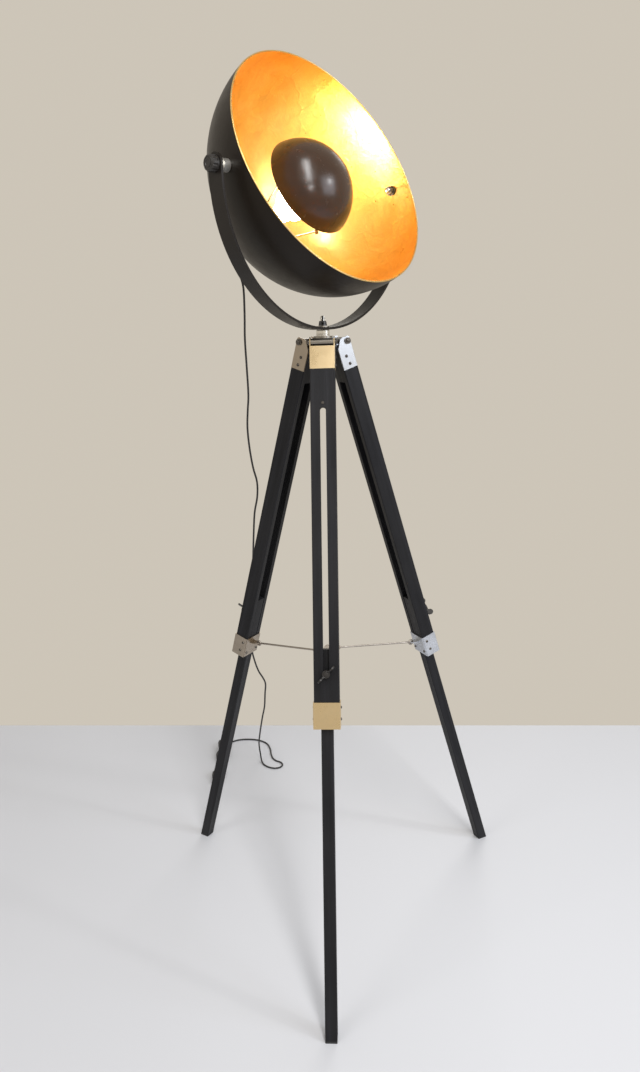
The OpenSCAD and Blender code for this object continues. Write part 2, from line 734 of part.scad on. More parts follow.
module tilt_bores(d) {
    translate([0, 0, -axis_back]) along_x(d, -dome_r - past, dome_r + past);
}

module dome_shell() {
    color("#2a241e") head_place() difference() {
        bowl(dome_r, dome_in);
        tilt_bores(bolt_d);
        translate([0, 0, -dome_r - past]) cylinder(d = gland_d - 5, h = dome_t + 4);
    }
}

module dome_lining() {
    color("#e0a83a") head_place() difference() {
        bowl(dome_in, lining_in);
        tilt_bores(bolt_d);
        translate([0, 0, -dome_r - past]) cylinder(d = gland_d - 5, h = dome_t + 4);
    }
}

// The rolled edge of the dome.
module dome_rim_bead() {
    bead_d = 2.4;
    color("#d8a23c") head_place() translate([0, 0, bead_d / 2])
        rotate_extrude($fn = 96) translate([dome_r - bead_d / 2, 0]) circle(d = bead_d, $fn = 24);
}

// All that lies behind the counter reflector's edge.
module below_small_edge() {
    far = 3 * small_r;
    translate([-far / 2, -far / 2, -small_edge - far]) cube([far, far, far]);
}

module counter_reflector() {
    color("#2a241e") head_place() difference() {
        translate([0, 0, -small_back]) sphere(r = small_r, $fn = 96);
        translate([0, 0, -small_back]) sphere(r = small_r - small_t, $fn = 96);
        below_small_edge();
    }
}

module counter_lining() {
    outer = small_r - small_t;
    color("#e0a83a") head_place() difference() {
        translate([0, 0, -small_back]) sphere(r = outer, $fn = 96);
        translate([0, 0, -small_back]) sphere(r = outer - lining_t, $fn = 96);
        below_small_edge();
    }
}

// A stay's line, from its foot on the holder's plate to its front end inside the reflector.
stay_run = holder_from - stay_front_back;
stay_lean = atan((stay_front_r - stay_end_r) / stay_run);
stay_len = norm([stay_front_r - stay_end_r, stay_run]);

module stay_turns() {
    for (i = [0:stay_count - 1]) rotate([0, 0, stay_first + 360 / stay_count * i]) children();
}

module stay_line(from, length) {
    translate([stay_end_r, 0, -holder_from]) rotate([0, stay_lean, 0])
        translate([0, 0, from]) cylinder(d = stay_d, h = length);
}

module reflector_stays() {
    color("#3a332a") head_place() stay_turns() {
        stay_line(1, stay_len - 1);
        translate([stay_end_r, 0, -holder_from]) cylinder(d = stay_d + 4, h = 3);
    }
}

// The small ferrules that hold the stays' front ends to the reflector's inner face.
module stay_ferrules() {
    wall_in = small_r - small_t - lining_t;
    drop = small_back - stay_front_back;
    wall_r = sqrt(wall_in * wall_in - drop * drop);
    color("#3a332a") head_place() stay_turns() difference() {
        translate([0, 0, -stay_front_back]) along_x(6, stay_front_r - 3, wall_r - 0.35);
        stay_line(0, stay_len + past);
    }
}

module holder_plate() {
    color("#6b655c") head_place() translate([0, 0, -plate_back]) difference() {
        cylinder(r = holder_plate_r, h = holder_plate_t);
        translate([0, 0, -past]) cylinder(d = gland_d - 6, h = holder_plate_t + 2 * past);
    }
}

module lamp_holder() {
    color("#181614") head_place() translate([0, 0, -holder_from]) difference() {
        union() {
            cylinder(d = holder_d - 8, h = 12);
            translate([0, 0, 12]) cylinder(d1 = holder_d - 5, d2 = holder_d, h = 6);
            translate([0, 0, 18]) cylinder(d = holder_d, h = holder_len - 20);
            translate([0, 0, holder_len - 2]) cylinder(d1 = holder_d, d2 = holder_d - 3, h = 2);
        }
        translate([0, 0, 16]) cylinder(d = cap_base_d + 1, h = holder_len);
        translate([0, 0, -past]) cylinder(d = gland_d - 6, h = 12 + past);
    }
}

module bulb_cap() {
    color("#b8b4ac") head_place() translate([0, 0, -holder_from + 19]) {
        cylinder(d1 = 12, d2 = cap_base_d, h = 4);
        translate([0, 0, 4]) cylinder(d = cap_base_d, h = 21);
    }
}

// The bulb's glass, a ball that runs down to the cap in a flared neck.
module bulb_glass() {
    neck_from = -holder_from + 44;
    color("#f4ead0") head_place() rotate_extrude($fn = 96) polygon(concat(
        [[0, neck_from], [neck_d / 2, neck_from], [neck_d / 2, neck_from + 3]],
        [for (a = [-48:6:90]) [bulb_r * cos(a), -bulb_back + bulb_r * sin(a)]]
    ));
}

// The two ends of the tilt axis, each with X pointing outward.
module tilt_ends() {
    translate([0, 0, -axis_back]) for (side = [0, 180]) rotate([0, 0, side]) children();
}

module tilt_bolts() {
    inner_end = seat_in - 16;
    outer_end = yoke_out + gap + 6;
    color("#8d877d") head_place() tilt_ends() along_x(bolt_d, inner_end, outer_end);
}

module tilt_spacers() {
    color("#cfcac0") head_place() tilt_ends() difference() {
        union() {
            along_x(spacer_d, spacer_from, yoke_r - gap - 7);
            along_x(spacer_d - 4, yoke_r - gap - 7.01, yoke_r - gap);
        }
        along_x(bolt_d, 0, yoke_out);
    }
}

// A washer and a hexagon nut on each bolt, inside the dome.
module tilt_nuts() {
    washer_from = sqrt(lining_in * lining_in - pow(axis_back + washer_d / 2, 2)) - 1.6;
    color("#3a332a") head_place() tilt_ends() difference() {
        union() {
            along_x(washer_d, washer_from, washer_from + 1.5);
            translate([washer_from - 6.5, 0, 0]) rotate([0, 90, 0])
                cylinder(d = nut_across / cos(30), h = 6.51, $fn = 6);
        }
        along_x(bolt_d, 0, yoke_out);
    }
}

// The tapered strain relief at the dome's back.
module cord_gland() {
    color("#141312") head_place() translate([0, 0, -dome_r - gland_seat]) rotate([180, 0, 0]) {
        cylinder(d = gland_d + 3, h = 3.5);
        translate([0, 0, 3.49]) cylinder(d1 = gland_d - 3, d2 = gland_tip_d, h = gland_len - 3.49);
    }
}

module knob(side) {
    lobes = 10;
    color("#1d1a18") yoke_place() rotate([0, 0, side > 0 ? 0 : 180]) difference() {
        union() {
            along_x(knob_d, yoke_out + gap, yoke_out + gap + knob_h - 2);
            translate([yoke_out + gap + knob_h - 2.01, 0, 0]) rotate([0, 90, 0])
                cylinder(d1 = knob_d, d2 = knob_d - 4, h = 2.01);
        }
        along_x(bolt_d + 2 * run, yoke_r, yoke_out + gap + 7);
        for (i = [0:lobes - 1]) rotate([i * 360 / lobes, 0, 0])
            translate([0, 0, knob_d / 2 + 1.3]) along_x(5, yoke_out + gap + 2.5, yoke_out + knob_h + 3);
    }
}

// ---------------------------------------------------------------- cord
module cord_upper() {
    color("#141312") in_place() tube(halved(cord_upper_points), cord_d, cord_sides);
}

module cord_lower() {
    color("#141312") in_place() tube(cord_lower_points, cord_d, cord_sides);
}

module hank_place() {
    in_place() translate(hank_at) rotate([0, 0, hank_turn]) children();
}

module cord_hank() {
    color("#141312") hank_place() translate([0, 0, hank_base]) tube(hank_points, cord_d, hank_sides);
}

module hank_tie() {
    color("#2e2c2a") hank_place() rotate([90, 0, 0]) linear_extrude(tie_w, center = true) difference() {
        translate([-tie_half - tie_t, 0]) square([2 * tie_half + 2 * tie_t, tie_top + tie_t]);
        translate([-tie_half, tie_t]) square([2 * tie_half, tie_top - tie_t]);
    }
}

// A flat two-blade plug with a tapered strain relief.
module mains_plug() {
    blade_gap = 12.7;
    blade_w = 6.4;
    blade_t = 1.6;
    slim = 0.62;
    color("#161514") hank_place() translate([0, -hank_run / 2 - hank_tail - cord_d, plug_t / 2]) {
        rotate([90, 0, 0]) cylinder(d1 = cord_d + 2, d2 = cord_d + 6, h = relief_len + 0.01);
        translate([0, -relief_len, 0]) intersection() {
            linear_extrude(plug_t, center = true) polygon([
                [-plug_w / 2 * slim, 0], [-plug_w / 2, -plug_len * 0.6], [-plug_w / 2, -plug_len + 1.5],
                [-plug_w / 2 + 1.5, -plug_len], [plug_w / 2 - 1.5, -plug_len], [plug_w / 2, -plug_len + 1.5],
                [plug_w / 2, -plug_len * 0.6], [plug_w / 2 * slim, 0]
            ]);
            rotate([90, 0, 90]) linear_extrude(plug_w + past, center = true) polygon([
                [0, -plug_t / 2 * slim], [-plug_len * 0.5, -plug_t / 2], [-plug_len + 1.5, -plug_t / 2],
                [-plug_len, -plug_t / 2 + 1.5], [-plug_len, plug_t / 2 - 1.5], [-plug_len + 1.5, plug_t / 2],
                [-plug_len * 0.5, plug_t / 2], [0, plug_t / 2 * slim]
            ]);
        }
        for (side = [-1, 1])
            translate([side * blade_gap / 2 - blade_t / 2, -relief_len - plug_len - blade_len, -blade_w / 2])
                cube([blade_t, blade_len + 1, blade_w]);
    }
}

hub();
spindle();
spindle_nut();
hinge_pins();
yoke();
yoke_washer();
yoke_wing_nut();
dome_shell();
dome_lining();
dome_rim_bead();
counter_reflector();
counter_lining();
reflector_stays();
stay_ferrules();
holder_plate();
lamp_holder();
bulb_glass();
bulb_cap();
tilt_bolts();
tilt_spacers();
tilt_nuts();
cord_gland();
knob(-1);  // knob_left
knob(1);  // knob_right
upper_leg(FRONT);  // upper_leg_front
upper_leg(RIGHT);  // upper_leg_right
upper_leg(LEFT);  // upper_leg_left
cap(FRONT);  // cap_front
cap(RIGHT);  // cap_right
cap(LEFT);  // cap_left
cap_screws(FRONT);  // cap_screws_front
cap_screws(RIGHT);  // cap_screws_right
cap_screws(LEFT);  // cap_screws_left
sleeve(FRONT);  // sleeve_front
sleeve(RIGHT);  // sleeve_right
sleeve(LEFT);  // sleeve_left
sleeve_screws(FRONT);  // sleeve_screws_front
sleeve_screws(RIGHT);  // sleeve_screws_right
sleeve_screws(LEFT);  // sleeve_screws_left
spreader_bracket(FRONT);  // spreader_bracket_front
spreader_bracket(RIGHT);  // spreader_bracket_right
spreader_bracket(LEFT);  // spreader_bracket_left
lower_leg(FRONT);  // lower_leg_front
lower_leg(RIGHT);  // lower_leg_right
lower_leg(LEFT);  // lower_leg_left
foot_pad(FRONT);  // foot_pad_front
foot_pad(RIGHT);  // foot_pad_right
foot_pad(LEFT);  // foot_pad_left
wing_screw(FRONT);  // wing_screw_front
wing_screw(RIGHT);  // wing_screw_right
wing_screw(LEFT);  // wing_screw_left
spreader_rod(FRONT);  // spreader_rod_front
spreader_rod(RIGHT);  // spreader_rod_right
spreader_rod(LEFT);  // spreader_rod_left
spreader_plate();
cord_upper();
cord_lower();
cord_hank();
hank_tie();
mains_plug();
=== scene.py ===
import json
import math

import bmesh
import bpy
from mathutils import Matrix, Vector


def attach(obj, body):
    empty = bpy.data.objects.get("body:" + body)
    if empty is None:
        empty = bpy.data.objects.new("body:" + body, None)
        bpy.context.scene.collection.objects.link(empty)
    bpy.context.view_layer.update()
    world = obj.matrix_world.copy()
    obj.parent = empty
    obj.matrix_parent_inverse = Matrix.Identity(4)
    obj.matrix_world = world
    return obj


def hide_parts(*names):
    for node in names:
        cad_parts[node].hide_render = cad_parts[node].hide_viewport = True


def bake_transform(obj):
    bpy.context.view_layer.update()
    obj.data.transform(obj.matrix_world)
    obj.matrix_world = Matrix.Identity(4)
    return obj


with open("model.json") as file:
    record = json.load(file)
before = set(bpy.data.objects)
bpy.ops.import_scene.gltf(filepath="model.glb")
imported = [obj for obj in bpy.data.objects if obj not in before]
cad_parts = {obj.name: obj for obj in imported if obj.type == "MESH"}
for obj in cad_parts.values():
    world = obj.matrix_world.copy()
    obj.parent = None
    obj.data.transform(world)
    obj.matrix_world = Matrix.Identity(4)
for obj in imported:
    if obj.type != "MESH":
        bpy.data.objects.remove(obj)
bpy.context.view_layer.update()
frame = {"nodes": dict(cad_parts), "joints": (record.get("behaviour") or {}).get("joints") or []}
nodes = frame["nodes"]
joints = {joint["name"]: joint for joint in frame["joints"]}
scene = bpy.context.scene

# Places and sizes in metres and radians, as the CAD has them.
SIDES = {"front": -90, "right": 30, "left": 150}     # the legs' azimuths, in degrees
AXIS_Y = joints["yoke_pan"]["pos_m"][1]     # the tripod's axis stands here on the Y axis
LEG_TILT = math.radians(17)
LEG_W = 0.042
LEG_OUT = 0.006     # the upper leg's outer face, outward from the hinge pin
LEG_IN = -0.022     # its inner face
UPPER_LEN = 0.641
SLEEVE_LEN = 0.042
SHEET = 0.0015
HINGE_R = 0.036
HINGE_Z = 1.101
PIN_END = 0.0249
HEAD_YAW = math.radians(51)
HEAD_RISE = math.radians(25)
AXIS_BACK = 0.034     # from the rim back to the tilt axis
DOME_R = 0.200
BOLT_D = 0.008
BOLT_END = 0.1794     # the tilt bolts' inner ends, from the head's middle
KNOB_END = 0.2343     # the knobs' outer faces, from the head's middle
STUD_D = 0.008
STUD_TOP = 1.1423
PLATE_BACK = 0.193     # the lamp holder's plate, behind the rim
PLATE_T = 0.003
HOLDER_LEN = 0.044
GLAND_SEAT = 0.0002
GLAND_LEN = 0.026
GLAND_NUT = 0.0035     # the height of the nut at the gland's foot
CORD_D = 0.004
CORD_REST = CORD_D / 2     # the cord's middle where it lies on the floor
HANK_AT = Vector((-0.339, 0.537, 0))
HANK_TURN = math.radians(4.3)
HANK_RUN = 0.060
HANK_FOLD = 0.012
HANK_WAIST = 0.005
HANK_PITCH = 0.0046
HANK_BASE = 0.0028
HANK_LOOPS = 3
HANK_TAIL = 0.050
PLUG_T = 0.017
STRAIN_LEN = 0.022     # the plug's strain relief

# Fine pieces, which only this script has. Leg places are X outward, Y along the pin, Z up the leg.
SCREW_R = 0.0019
SCREW_HEAD = 0.0013     # a screw's face stands this far out of the surface
CAP_SCREWS = ((-0.010, -0.024), (-0.007, -0.038))     # X and Z
SLEEVE_SCREWS = ((0.007, 0.011), (0.010, 0.030))     # from the inner face, and down the sleeve
BRACKET_SCREW_Y = 0.01575
BRACKET_SCREW_UP = 0.009
FACE_SCREW_Z = -0.1035
WING_OUT = 0.0093
WING_Z = -0.552
THREAD_PITCH = 0.00125

SMOOTH_BELOW = math.radians(35)
FLOOR_SIDE = 2.2
FLOOR_FRONT = -1.7
FLOOR_BACK = 0.78

tilt_at = Vector(joints["head_tilt"]["pos_m"])
head_out = Vector((
    math.sin(HEAD_YAW) * math.cos(HEAD_RISE),
    -math.cos(HEAD_YAW) * math.cos(HEAD_RISE),
    math.sin(HEAD_RISE),
))
head_side = Vector((math.cos(HEAD_YAW), math.sin(HEAD_YAW), 0))
rim_at = tilt_at + AXIS_BACK * head_out
gland_end = rim_at - (DOME_R + GLAND_SEAT + GLAND_LEN) * head_out
head_turn = Matrix((head_side, head_out.cross(head_side), head_out)).transposed()
# The head's frame has Z out of the dome and X along the tilt axis.
in_head = Matrix.Translation(rim_at) @ head_turn.to_4x4()
in_yoke = Matrix.Translation(tilt_at) @ Matrix.Rotation(HEAD_YAW, 4, "Z")
on_axis = Matrix.Translation((0, AXIS_Y, 0))
in_hank = on_axis @ Matrix.Translation(HANK_AT) @ Matrix.Rotation(HANK_TURN, 4, "Z")


# ---------------------------------------------------------------- camera
def make_camera():
    """The photograph's view: 640 wide, with its focal length in pixels."""
    photo_width = 640
    focal = 800.2
    place = Vector((0.0772, AXIS_Y - 1.4121, 1.1320))
    yaw, pitch, roll = -0.0662, 0.2603, -0.0323
    forward = Vector((
        math.sin(yaw) * math.cos(pitch), math.cos(yaw) * math.cos(pitch), -math.sin(pitch),
    ))
    right = Vector((math.cos(yaw), -math.sin(yaw), 0))
    up = right.cross(forward)
    turned_right = right * math.cos(roll) + up * math.sin(roll)
    turned_up = up * math.cos(roll) - right * math.sin(roll)
    data = bpy.data.cameras.new("camera")
    data.sensor_fit = "HORIZONTAL"
    data.sensor_width = 36
    data.lens = focal * data.sensor_width / photo_width
    data.clip_end = 50
    camera = bpy.data.objects.new("camera", data)
    scene.collection.objects.link(camera)
    turn = Matrix((turned_right, turned_up, -forward)).transposed().to_4x4()
    camera.matrix_world = Matrix.Translation(place) @ turn
    scene.camera = camera


# ---------------------------------------------------------------- meshes
def add_mesh(name, bm):
    """A new object from bm, smooth but for its sharper edges."""
    bmesh.ops.recalc_face_normals(bm, faces=bm.faces)
    for edge in bm.edges:
        edge.smooth = len(edge.link_faces) == 2 and edge.calc_face_angle(0) < SMOOTH_BELOW
    for face in bm.faces:
        face.smooth = True
    mesh = bpy.data.meshes.new(name)
    bm.to_mesh(mesh)
    bm.free()
    piece = bpy.data.objects.new(name, mesh)
    scene.collection.objects.link(piece)
    return piece


def circle(bm, place, radius, height, steps):
    """New vertices evenly round the Z axis of place."""
    return [
        bm.verts.new(place @ Vector((radius * math.cos(a), radius * math.sin(a), height)))
        for a in (2 * math.pi * i / steps for i in range(steps))
    ]


def bridge(bm, low, high):
    """Quads between two loops of as many vertices."""
    for i in range(len(low)):
        j = (i + 1) % len(low)
        bm.faces.new((low[i], low[j], high[j], high[i]))


def lathe(bm, outline, place, steps):
    """A closed solid: outline is (radius, height) pairs from one end to the other."""
    rings = []
    for radius, height in outline:
        if radius < 1e-6:
            rings.append([bm.verts.new(place @ Vector((0, 0, height)))])
        else:
            rings.append(circle(bm, place, radius, height, steps))
    for low, high in zip(rings, rings[1:]):
        for i in range(steps):
            j = (i + 1) % steps
            corners = [
                low[i % len(low)], low[j % len(low)], high[j % len(high)], high[i % len(high)],
            ]
            corners = list(dict.fromkeys(corners))
            if len(corners) > 2:
                bm.faces.new(corners)
    for end in (rings[0], rings[-1]):
        if len(end) > 1:
            bm.faces.new(end)


def sweep(bm, route, diameter, sides=14, widths=None):
    """A round tube along route, closed at both ends. widths scale the radius at each point."""
    last = len(route) - 1
    headings = [
        (route[min(i + 1, last)] - route[max(i - 1, 0)]).normalized() for i in range(last + 1)
    ]
    normal = headings[0].orthogonal().normalized()
    rings = []
    for i, (point, heading) in enumerate(zip(route, headings)):
        normal = (normal - heading * normal.dot(heading)).normalized()
        other = heading.cross(normal)
        radius = diameter / 2 * (widths[i] if widths else 1)
        rings.append([
            bm.verts.new(point + radius * (math.cos(a) * normal + math.sin(a) * other))
            for a in (2 * math.pi * j / sides for j in range(sides))
        ])
    for low, high in zip(rings, rings[1:]):
        bridge(bm, low, high)
    bm.faces.new(rings[0])
    bm.faces.new(rings[-1])


def smooth_route(points, steps):
    """Points on a smooth curve through points, steps to each stretch."""
    route = []
    last = len(points) - 1
    for i in range(last):
        a = points[i - 1] if i else 2 * points[0] - points[1]
        b, c = points[i], points[i + 1]
        d = points[i + 2] if i + 2 <= last else 2 * points[last] - points[last - 1]
        for k in range(steps):
            t = k / steps
            route.append(0.5 * (
                2 * b + (c - a) * t + (2 * a - 5 * b + 4 * c - d) * t * t
                + (3 * b - 3 * c + d - a) * t ** 3
            ))
    return route + [points[last]]


# ---------------------------------------------------------------- cord
def millimetres(*points):
    """Route points as the CAD lists them, from the tripod's axis."""
    return [Vector(p) / 1000 + Vector((0, AXIS_Y, 0)) for p in points]


def run_x(y):
    """A run's distance from the hank's middle, where the tie draws it in."""
    reach = HANK_RUN / 2 - CORD_D
    if abs(y) > reach:
        return HANK_FOLD
    return HANK_FOLD - (HANK_FOLD - HANK_WAIST) * (1 + math.cos(math.pi * y / reach)) / 2


def hank_route():
    """The hank's runs and folds, drawn in at the tie, and the tail down to the plug."""
    run_steps, fold_steps, tail_steps = 14, 10, 12
    half = HANK_RUN / 2
    points = [Vector((HANK_FOLD, half + CORD_D, 0))]
    for layer in range(HANK_LOOPS + 1):
        height = layer * HANK_PITCH
        for i in range(run_steps + 1):
            y = half - HANK_RUN * i / run_steps
            points.append(Vector((run_x(y), y, height)))
        if layer == HANK_LOOPS:
            break
        for i in range(1, fold_steps):
            a = math.pi * i / fold_steps
            x, y = HANK_FOLD * math.cos(a), -half - HANK_FOLD * math.sin(a)
            points.append(Vector((x, y, height)))
        for i in range(run_steps + 1):
            part = i / run_steps
            y = HANK_RUN * (part - 0.5)
            climb = HANK_PITCH * (1 - math.cos(math.pi * part)) / 2
            points.append(Vector((-run_x(y), y, height + climb)))
        for i in range(1, fold_steps):
            a = math.pi * i / fold_steps
            x, y = -HANK_FOLD * math.cos(a), half + HANK_FOLD * math.sin(a)
            points.append(Vector((x, y, height + HANK_PITCH)))
    top = HANK_LOOPS * HANK_PITCH
    drop = PLUG_T / 2 - HANK_BASE - top
    for i in range(1, tail_steps + 1):
        part = i / tail_steps
        ease = (1 - math.cos(math.pi * part)) / 2
        points.append(Vector((
            HANK_FOLD * (1 - ease), -half - HANK_TAIL * part, top + drop * ease,
        )))
    points.append(points[-1] - Vector((0, CORD_D, 0)))
    return [in_hank @ (point + Vector((0, 0, HANK_BASE))) for point in points]


def make_cords():
    """The cord in two stretches, which part where the front of it is hidden behind the left leg."""
    straight = [gland_end - reach * head_out for reach in (0, CORD_D, 0.012)]
    upper = straight + millimetres(
        (-156, 127, 1257), (-160, 132, 1242), (-158, 136, 1222), (-154, 141, 1198),
        (-157, 157, 1150), (-161, 171, 1106), (-162, 182, 1052), (-163, 191, 998),
        (-167, 196, 964), (-170, 201, 930), (-169, 208, 888), (-165, 215, 847),
        (-159, 220, 815), (-161, 225, 782), (-169, 231, 748), (-174, 237, 706),
        (-181, 251, 640), (-188, 272, 584), (-190, 278, 568), (-191, 281, 560),
    )
    floor = 1000 * CORD_REST
    lower = millimetres(
        (-191, 281, 560), (-192, 284, 552), (-202, 306, 480), (-208, 329, 398), (-205, 345, 356),
        (-199, 358, 324), (-190, 368, 300), (-187, 378, 280), (-191, 388, 250), (-196, 402, 209),
        (-205, 419, 172), (-213, 436, 136), (-221, 456, 98), (-227, 476, 66), (-229, 491, 40),
        (-229, 499, 23), (-227, 496, 9), (-223, 485, 3), (-216, 473, floor), (-202, 461, floor),
        (-186, 456, floor), (-172, 461, floor), (-167, 474, floor), (-174, 486, floor),
        (-187, 494, floor), (-197, 507, floor), (-204, 528, floor), (-210, 556, floor),
        (-223, 584, floor), (-248, 602, floor), (-276, 607, floor), (-298, 605, floor),
        (-315, 598, floor), (-326, 588, floor + 0.4),
    )
    before_hank = in_hank @ Vector((HANK_FOLD, HANK_RUN / 2 + 3 * CORD_D, HANK_BASE))
    hank = hank_route()
    upper_route = smooth_route(upper, 4)
    lower_route = smooth_route(lower + [before_hank, hank[0]], 4)
    whole_lower = lower_route + hank[1:]

    bm = bmesh.new()
    sweep(bm, upper_route, CORD_D)
    first = add_mesh("cord_upper_sheath", bm)
    bm = bmesh.new()
    sweep(bm, whole_lower, CORD_D)
    second = add_mesh("cord_lower_sheath", bm)
    for piece in (first, second):
        piece.data.materials.append(cord_sheath)
    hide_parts("cord_upper")
    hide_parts("cord_lower", "cord_hank")
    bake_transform(first)
    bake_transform(second)


# ---------------------------------------------------------------- fine pieces
def at_hinge(side):
    """A hinge pin's frame: X points outward, Y along the pin and Z up."""
    turn = Matrix.Rotation(math.radians(SIDES[side]), 4, "Z")
    return on_axis @ turn @ Matrix.Translation((HINGE_R, 0, HINGE_Z))


def facing(x, y, z, axis, degrees):
    return Matrix.Translation((x, y, z)) @ Matrix.Rotation(math.radians(degrees), 4, axis)


def loop_edges(bm, corners):
    pairs = zip(corners, corners[1:] + corners[:1])
    return [bm.edges.get(pair) or bm.edges.new(pair) for pair in pairs]


def cross_head(bm, place, radius, rise=0.0005, depth=0.0004):
    """A screw's face: a low rounded disc with a cross recess."""
    profile = ((1, -0.0002), (1, 0), (0.94, rise * 0.7), (0.8, rise))
    rings = [circle(bm, place, radius * scale, height, 24) for scale, height in profile]
    for low, high in zip(rings, rings[1:]):
        bridge(bm, low, high)
    bm.faces.new(rings[0])
    arm, half = radius * 0.62, radius * 0.17
    quarter = [(arm, -half), (arm, half), (half, half)]
    cross = []
    for _ in range(4):
        cross += quarter
        quarter = [(-y, x) for x, y in quarter]
    top = [bm.verts.new(place @ Vector((x, y, rise))) for x, y in cross]
    floor = [bm.verts.new(place @ Vector((x * 0.85, y * 0.85, rise - depth))) for x, y in cross]
    bridge(bm, top, floor)
    bm.faces.new(floor)
    edges = loop_edges(bm, rings[-1]) + loop_edges(bm, top)
    bmesh.ops.triangle_fill(bm, use_beauty=True, edges=edges)


def ring(bm, place, radius, wire, height, steps=40):
    """A closed round bead about the Z axis of place."""
    sides = 8
    rings = []
    for a in (2 * math.pi * i / steps for i in range(steps)):
        rings.append([])
        for b in (2 * math.pi * j / sides for j in range(sides)):
            reach = radius + wire / 2 * math.cos(b)
            up = height + wire / 2 * math.sin(b)
            point = Vector((reach * math.cos(a), reach * math.sin(a), up))
            rings[-1].append(bm.verts.new(place @ point))
    for low, high in zip(rings, rings[1:] + rings[:1]):
        bridge(bm, low, high)


def thread(bm, place, diameter, start, length):
    """A thread's ridge, wound about the Z axis of place."""
    turns = 18
    count = round(length / THREAD_PITCH * turns)
    radius = diameter / 2 + 0.00005
    route = []
    for i in range(count + 1):
        a = 2 * math.pi * i / turns
        point = Vector((radius * math.cos(a), radius * math.sin(a), start + length * i / count))
        route.append(place @ point)
    fade = [min(1, 0.2 + min(i, count - i) / 6) for i in range(count + 1)]
    sweep(bm, route, THREAD_PITCH * 0.62, 6, fade)


def fit(name, bm, body, material):
    """Makes a fine piece of bm that rides on body."""
    piece = add_mesh(name, bm)
    piece.data.materials.append(material)
    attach(piece, body)


def make_leg_pieces(side, screw_steel):
    """The faces of a leg's screws, its hinge pin's ends and its wing screw's crown."""
    hinge = at_hinge(side)
    leg = hinge @ Matrix.Rotation(-LEG_TILT, 4, "Y")
    bm = bmesh.new()
    for y in (-1, 1):
        for x, z in CAP_SCREWS:
            out = LEG_W / 2 + SCREW_HEAD
            cross_head(bm, leg @ facing(x, y * out, z, "X", -90 * y), SCREW_R)
        for x, down in SLEEVE_SCREWS:
            out = LEG_W / 2 + SHEET + SCREW_HEAD
            z = -UPPER_LEN + SLEEVE_LEN - down
            cross_head(bm, leg @ facing(LEG_IN + x, y * out, z, "X", -90 * y), SCREW_R)
        x = LEG_IN - SHEET - SCREW_HEAD
        z = -UPPER_LEN + BRACKET_SCREW_UP
        cross_head(bm, leg @ facing(x, y * BRACKET_SCREW_Y, z, "Y", -90), SCREW_R)
    large = leg @ facing(LEG_OUT + 0.0001, 0, FACE_SCREW_Z, "Y", 90)
    cross_head(bm, large, 0.0026, 0.0009, 0.0006)
    fit("screw_faces_" + side, bm, "upper_leg_" + side, screw_steel)

    bm = bmesh.new()
    peened = [(0.0034, -0.0002), (0.0034, 0), (0.0029, 0.0005), (0.0016, 0.0008), (0, 0.0009)]
    for y in (-1, 1):
        lathe(bm, peened, hinge @ facing(0, y * PIN_END, 0, "X", -90 * y), 24)
    fit("pin_ends_" + side, bm, "tripod_head", screw_steel)

    bm = bmesh.new()
    boss = leg @ facing(LEG_OUT + WING_OUT, 0, WING_Z, "Y", 90)
    crown = [(0.0046, -0.0002), (0.0046, 0.0004), (0.0040, 0.0011), (0.0022, 0.0014), (0, 0.0015)]
    lathe(bm, crown, boss, 28)
    ring(bm, boss, 0.0056, 0.0007, 0.0001)
    fit("wing_crown_" + side, bm, "wing_screw_" + side, fitting_black)


def make_spindle_pieces(nickel):
    bm = bmesh.new()
    thread(bm, on_axis, STUD_D, 1.1355, 0.0060)
    tip = [(0.0039, STUD_TOP - 0.0002), (0.0039, STUD_TOP), (0.0032, STUD_TOP + 0.0006),
           (0, STUD_TOP + 0.0008)]
    lathe(bm, tip, on_axis, 28)
    fit("stud_thread", bm, "tripod_head", nickel)

    bm = bmesh.new()
    for height in (1.1118, 1.1136):
        ring(bm, on_axis, 0.0113, 0.0008, height, 56)
    fit("collar_grooves", bm, "tripod_head", nickel)


